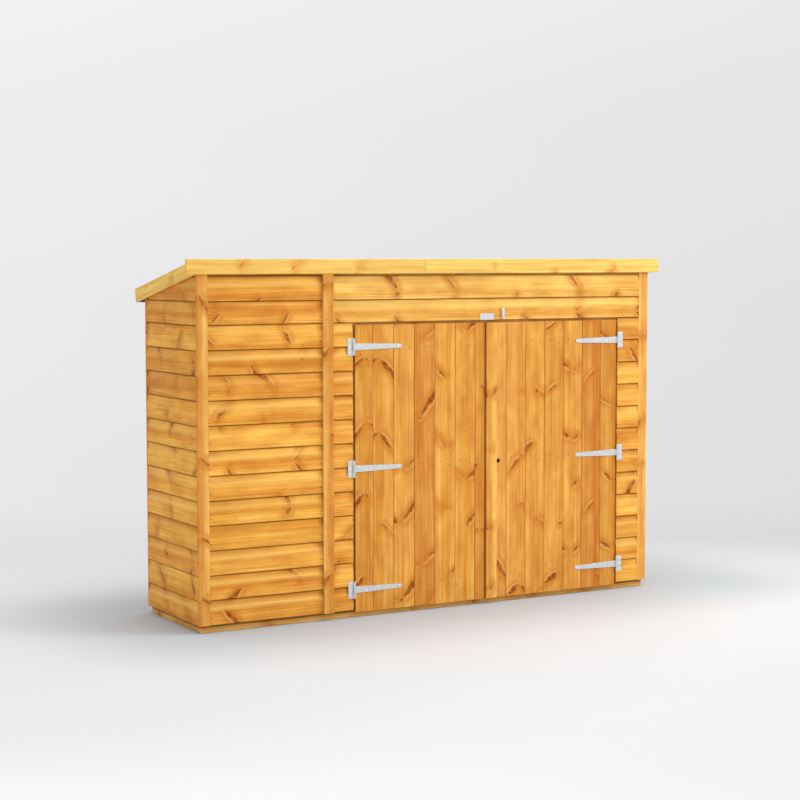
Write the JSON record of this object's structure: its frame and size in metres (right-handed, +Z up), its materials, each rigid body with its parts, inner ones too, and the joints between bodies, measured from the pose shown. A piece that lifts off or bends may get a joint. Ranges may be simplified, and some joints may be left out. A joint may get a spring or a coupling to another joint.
{
  "type": "timber bike shed with double doors",
  "caption": "Closed timber bike shed with a pent roof, shiplap walls and a pair of ledged and braced doors on tee hinges.",
  "frame": {"origin": "on the ground at the middle of the floor, under the centre joist", "axes": "+Z up, +X along the shed to the right of the doors seen from outside, -Y out of the doors"},
  "size_m": [2.544, 0.699, 1.6435],
  "materials": {
    "cladding_wood": "dip-treated softwood",
    "door_wood": "dip-treated softwood",
    "trim_wood": "dip-treated softwood",
    "frame_wood": "sawn softwood",
    "roofing_felt": "mineral felt",
    "galvanised_steel": "galvanised",
    "lock_metal": "black enamel"
  },
  "bodies": {
    "shed": {"floor_long_joists": "frame_wood", "floor_cross_joists": "frame_wood", "floor_boards": "frame_wood", "front_panel_cladding": "cladding_wood", "left_jamb_cladding": "cladding_wood", "right_jamb_cladding": "cladding_wood", "door_head_cladding": "cladding_wood", "left_end_cladding": "cladding_wood", "right_end_cladding": "cladding_wood", "back_left_cladding": "cladding_wood", "back_right_cladding": "cladding_wood", "front_studs": "frame_wood", "front_rails": "frame_wood", "back_studs": "frame_wood", "back_rails": "frame_wood", "end_studs": "frame_wood", "end_rails": "frame_wood", "door_stops": "frame_wood", "left_corner_strip": "trim_wood", "panel_joint_strip": "trim_wood", "right_corner_strip": "trim_wood", "back_cover_strips": "trim_wood", "roof_purlin": "frame_wood", "roof_deck": "frame_wood", "roof_felt": "roofing_felt", "front_fascia": "trim_wood", "left_barge_board": "trim_wood", "right_barge_board": "trim_wood", "left_hinge_plates": "galvanised_steel", "right_hinge_plates": "galvanised_steel", "button_screw": "galvanised_steel"},
    "left_door": {"left_door_boards": "door_wood", "left_door_ledges": "frame_wood", "left_door_braces": "frame_wood", "left_hinge_straps": "galvanised_steel", "lock_keep": "lock_metal"},
    "right_door": {"right_door_boards": "door_wood", "right_door_ledges": "frame_wood", "right_door_braces": "frame_wood", "right_hinge_straps": "galvanised_steel", "meeting_strip": "trim_wood", "rim_lock": "lock_metal"},
    "turn_button": {"turn_button": "galvanised_steel"}
  },
  "joints": [
    {"name": "left_door_hinge", "type": "hinge", "parent": "shed", "child": "left_door", "pos_m": [-0.4485, -0.3005, 0.68735], "axis": [0, 0, -1], "range_deg": [0, 165]},
    {"name": "right_door_hinge", "type": "hinge", "parent": "shed", "child": "right_door", "pos_m": [1.036, -0.3005, 0.68735], "axis": [0, 0, 1], "range_deg": [0, 165]},
    {"name": "turn_button_pivot", "type": "hinge", "parent": "shed", "child": "turn_button", "pos_m": [0.357, -0.301, 1.3742], "axis": [0, -1, 0], "range_deg": [0, 180]}
  ]
}
